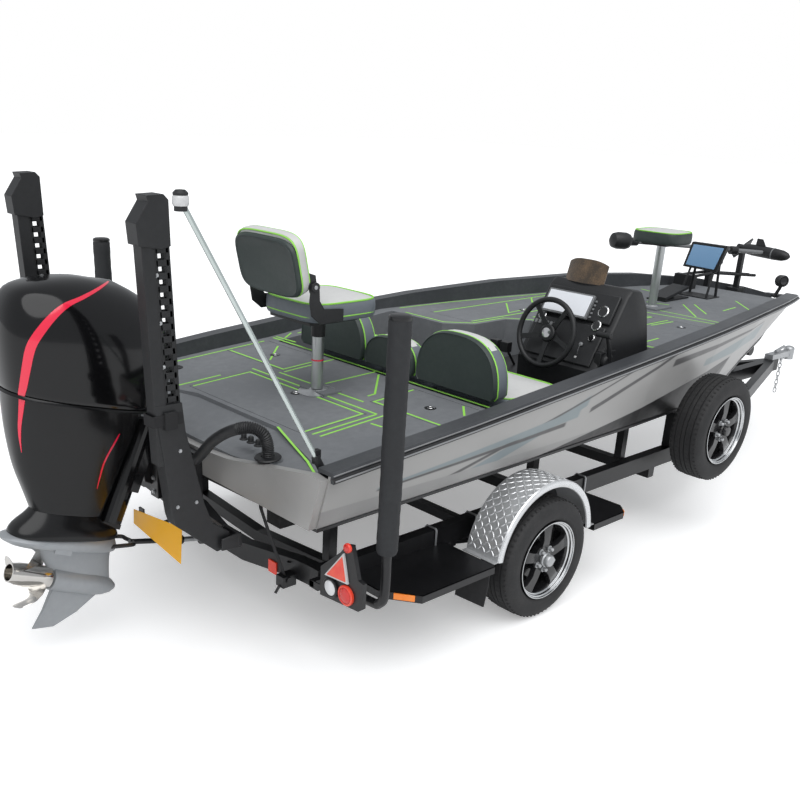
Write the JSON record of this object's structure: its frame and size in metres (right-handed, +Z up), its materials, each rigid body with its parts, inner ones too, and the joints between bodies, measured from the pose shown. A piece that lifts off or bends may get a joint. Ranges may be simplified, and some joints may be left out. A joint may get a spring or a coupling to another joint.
{
  "type": "bass boat on a trailer",
  "caption": "Aluminium bass boat with outboard engine, shallow-water anchors, pedestal seats and a bow motor, standing on its single-axle road trailer.",
  "frame": {"origin": "on the ground under the middle of the bounding box, on the boat's centre plane", "axes": "+X towards the bow and the coupler, +Y to port, +Z up"},
  "size_m": [7.2914, 2.4452, 2.12],
  "materials": {
    "anchor_port": "satin black paint",
    "anchor_starboard": "satin black paint",
    "axle": "satin black paint",
    "bow_display": "moulded black",
    "bow_seat": "vinyl on a steel post",
    "bunk_port": "black carpet",
    "bunk_starboard": "black carpet",
    "centre_seat_back": "moulded",
    "console": "moulded black",
    "coupler": "zinc plated",
    "cross_front": "satin black paint",
    "cross_middle": "satin black paint",
    "cross_rear": "satin black paint",
    "drawbar": "satin black paint",
    "driver_seat_back": "vinyl",
    "engine_bracket": "satin black",
    "engine_cowl": "gloss black",
    "engine_leg": "satin silver and black",
    "fender_port": "chequer plate",
    "fender_starboard": "chequer plate",
    "foot_pedal": "moulded black",
    "front_deck": "grooved grey foam",
    "guide_pole_port": "moulded black",
    "guide_pole_starboard": "moulded black",
    "gunwale": "satin dark grey",
    "helm_wheel": "moulded black",
    "hull_bottom": "satin black paint",
    "hull_side_port": "brushed silver with dark graphics",
    "hull_side_starboard": "brushed silver with dark graphics",
    "jack": "zinc plated",
    "jack_plate": "satin black paint",
    "lamp_board_port": "moulded black",
    "lamp_board_starboard": "moulded black",
    "lid_front_centre": "grooved grey foam",
    "lid_front_starboard": "grooved grey foam",
    "lid_rear_centre": "grooved grey foam",
    "lid_rear_port": "grooved grey foam",
    "lid_rear_starboard": "grooved grey foam",
    "lid_rod_locker": "grooved grey foam",
    "port_seat_back": "vinyl",
    "propeller": "polished",
    "rail_port": "satin black paint",
    "rail_starboard": "satin black paint",
    "rear_deck": "grooved grey foam",
    "rear_seat": "vinyl on a steel post",
    "rear_seat_back": "vinyl",
    "rigging_hose": "ribbed black",
    "rim_port": "gloss black, polished lip",
    "rim_starboard": "gloss black, polished lip",
    "seat_bench": "vinyl",
    "spare_wheel": "matte",
    "steps_port": "satin black paint",
    "steps_starboard": "satin black paint",
    "stern_light": "bright",
    "transom": "satin silver",
    "trolling_motor": "moulded black",
    "trolling_prop": "moulded black",
    "tyre_port": "matte",
    "tyre_starboard": "matte",
    "windscreen": "tinted bronze"
  },
  "bodies": {
    "boat_and_trailer": {"axle": "axle", "bow_display": "bow_display", "bunk_port": "bunk_port", "bunk_starboard": "bunk_starboard", "console": "console", "coupler": "coupler", "cross_front": "cross_front", "cross_middle": "cross_middle", "cross_rear": "cross_rear", "drawbar": "drawbar", "fender_port": "fender_port", "fender_starboard": "fender_starboard", "foot_pedal": "foot_pedal", "front_deck": "front_deck", "guide_pole_port": "guide_pole_port", "guide_pole_starboard": "guide_pole_starboard", "gunwale": "gunwale", "hull_bottom": "hull_bottom", "hull_side_port": "hull_side_port", "hull_side_starboard": "hull_side_starboard", "jack": "jack", "jack_plate": "jack_plate", "lamp_board_port": "lamp_board_port", "lamp_board_starboard": "lamp_board_starboard", "rail_port": "rail_port", "rail_starboard": "rail_starboard", "rear_deck": "rear_deck", "rigging_hose": "rigging_hose", "seat_bench": "seat_bench", "spare_wheel": "spare_wheel", "steps_port": "steps_port", "steps_starboard": "steps_starboard", "stern_light": "stern_light", "transom": "transom", "trolling_motor": "trolling_motor", "windscreen": "windscreen"},
    "wheel_port": {"tyre_port": "tyre_port", "rim_port": "rim_port"},
    "wheel_starboard": {"tyre_starboard": "tyre_starboard", "rim_starboard": "rim_starboard"},
    "engine_swivel": {"engine_bracket": "engine_bracket"},
    "engine": {"engine_cowl": "engine_cowl", "engine_leg": "engine_leg"},
    "propeller": {"propeller": "propeller"},
    "helm_wheel": {"helm_wheel": "helm_wheel"},
    "bow_motor_prop": {"trolling_prop": "trolling_prop"},
    "driver_seat_back": {"driver_seat_back": "driver_seat_back"},
    "port_seat_back": {"port_seat_back": "port_seat_back"},
    "centre_seat_back": {"centre_seat_back": "centre_seat_back"},
    "rear_seat": {"rear_seat": "rear_seat"},
    "rear_seat_back": {"rear_seat_back": "rear_seat_back"},
    "bow_seat": {"bow_seat": "bow_seat"},
    "anchor_port": {"anchor_port": "anchor_port"},
    "anchor_starboard": {"anchor_starboard": "anchor_starboard"},
    "lid_front_centre": {"lid_front_centre": "lid_front_centre"},
    "lid_front_starboard": {"lid_front_starboard": "lid_front_starboard"},
    "lid_rear_centre": {"lid_rear_centre": "lid_rear_centre"},
    "lid_rear_port": {"lid_rear_port": "lid_rear_port"},
    "lid_rear_starboard": {"lid_rear_starboard": "lid_rear_starboard"},
    "lid_rod_locker": {"lid_rod_locker": "lid_rod_locker"}
  },
  "joints": [
    {"name": "wheel_port_spin", "type": "hinge", "parent": "boat_and_trailer", "child": "wheel_port", "pos_m": [-1.3373, 1.158, 0.32], "axis": [0, 1, 0], "continuous": true},
    {"name": "wheel_starboard_spin", "type": "hinge", "parent": "boat_and_trailer", "child": "wheel_starboard", "pos_m": [-1.3373, -1.158, 0.32], "axis": [0, 1, 0], "continuous": true},
    {"name": "engine_tilt", "type": "hinge", "parent": "boat_and_trailer", "child": "engine_swivel", "pos_m": [-2.9053, 0, 1], "axis": [0, 1, 0], "range_deg": [0, 45]},
    {"name": "engine_steer", "type": "hinge", "parent": "engine_swivel", "child": "engine", "pos_m": [-2.95547, 0, 1.02255], "axis": [0.4099, 0, 0.9121], "range_deg": [-30, 30]},
    {"name": "propeller_spin", "type": "hinge", "parent": "engine", "child": "propeller", "pos_m": [-3.50046, 0, 0.4222], "axis": [0.9121, 0, -0.4099], "continuous": true},
    {"name": "helm_turn", "type": "hinge", "parent": "boat_and_trailer", "child": "helm_wheel", "pos_m": [-0.6973, -0.5, 1.284], "axis": [-0.9798, 0, 0.2], "range_deg": [-810, 810]},
    {"name": "bow_motor_prop_spin", "type": "hinge", "parent": "boat_and_trailer", "child": "bow_motor_prop", "pos_m": [3.06772, 0.35017, 1.41421], "axis": [-0.0994, -0.9942, -0.0398], "continuous": true},
    {"name": "driver_seat_back_fold", "type": "hinge", "parent": "boat_and_trailer", "child": "driver_seat_back", "pos_m": [-1.3973, -0.58, 1.112], "axis": [0, 1, 0], "range_deg": [0, 85]},
    {"name": "port_seat_back_fold", "type": "hinge", "parent": "boat_and_trailer", "child": "port_seat_back", "pos_m": [-1.3973, 0.38, 1.112], "axis": [0, 1, 0], "range_deg": [0, 85]},
    {"name": "centre_seat_back_fold", "type": "hinge", "parent": "boat_and_trailer", "child": "centre_seat_back", "pos_m": [-1.3973, -0.1, 1.112], "axis": [0, 1, 0], "range_deg": [0, 85]},
    {"name": "rear_seat_swivel", "type": "hinge", "parent": "boat_and_trailer", "child": "rear_seat", "pos_m": [-1.9693, -0.05, 1.0406], "axis": [0, 0, 1], "continuous": true},
    {"name": "rear_seat_back_fold", "type": "hinge", "parent": "rear_seat", "child": "rear_seat_back", "pos_m": [-2.1743, -0.05, 1.509], "axis": [0, 1, 0], "range_deg": [0, 80]},
    {"name": "bow_seat_swivel", "type": "hinge", "parent": "boat_and_trailer", "child": "bow_seat", "pos_m": [1.1547, -0.02, 1.155], "axis": [0, 0, 1], "continuous": true},
    {"name": "lid_rear_centre_lift", "type": "hinge", "parent": "boat_and_trailer", "child": "lid_rear_centre", "pos_m": [-2.4053, -0.005, 1.0136], "axis": [0, -1, 0], "range_deg": [0, 80]},
    {"name": "lid_rear_port_lift", "type": "hinge", "parent": "boat_and_trailer", "child": "lid_rear_port", "pos_m": [-1.7253, 0.9, 1.05576], "axis": [-0.9981, 0, -0.0619], "range_deg": [0, 85]},
    {"name": "lid_rear_starboard_lift", "type": "hinge", "parent": "boat_and_trailer", "child": "lid_rear_starboard", "pos_m": [-1.7253, -0.9, 1.05576], "axis": [0.9981, 0, 0.0619], "range_deg": [0, 85]},
    {"name": "lid_rod_locker_lift", "type": "hinge", "parent": "boat_and_trailer", "child": "lid_rod_locker", "pos_m": [0.3197, 0.7, 1.155], "axis": [-1, 0, 0], "range_deg": [0, 85]},
    {"name": "lid_front_centre_lift", "type": "hinge", "parent": "boat_and_trailer", "child": "lid_front_centre", "pos_m": [0.0947, 0, 1.155], "axis": [0, -1, 0], "range_deg": [0, 85]},
    {"name": "lid_front_starboard_lift", "type": "hinge", "parent": "boat_and_trailer", "child": "lid_front_starboard", "pos_m": [0.4647, -0.74, 1.155], "axis": [1, 0, 0], "range_deg": [0, 85]},
    {"name": "anchor_port_fold", "type": "hinge", "parent": "boat_and_trailer", "child": "anchor_port", "pos_m": [-2.9053, 0.54, 0.64], "axis": [0, -1, 0], "range_deg": [0, 70]},
    {"name": "anchor_starboard_fold", "type": "hinge", "parent": "boat_and_trailer", "child": "anchor_starboard", "pos_m": [-2.9053, -0.54, 0.64], "axis": [0, -1, 0], "range_deg": [0, 70]}
  ],
  "couplings": [
    {"joint": "helm_turn", "follows": "engine_steer", "ratio": 27}
  ]
}
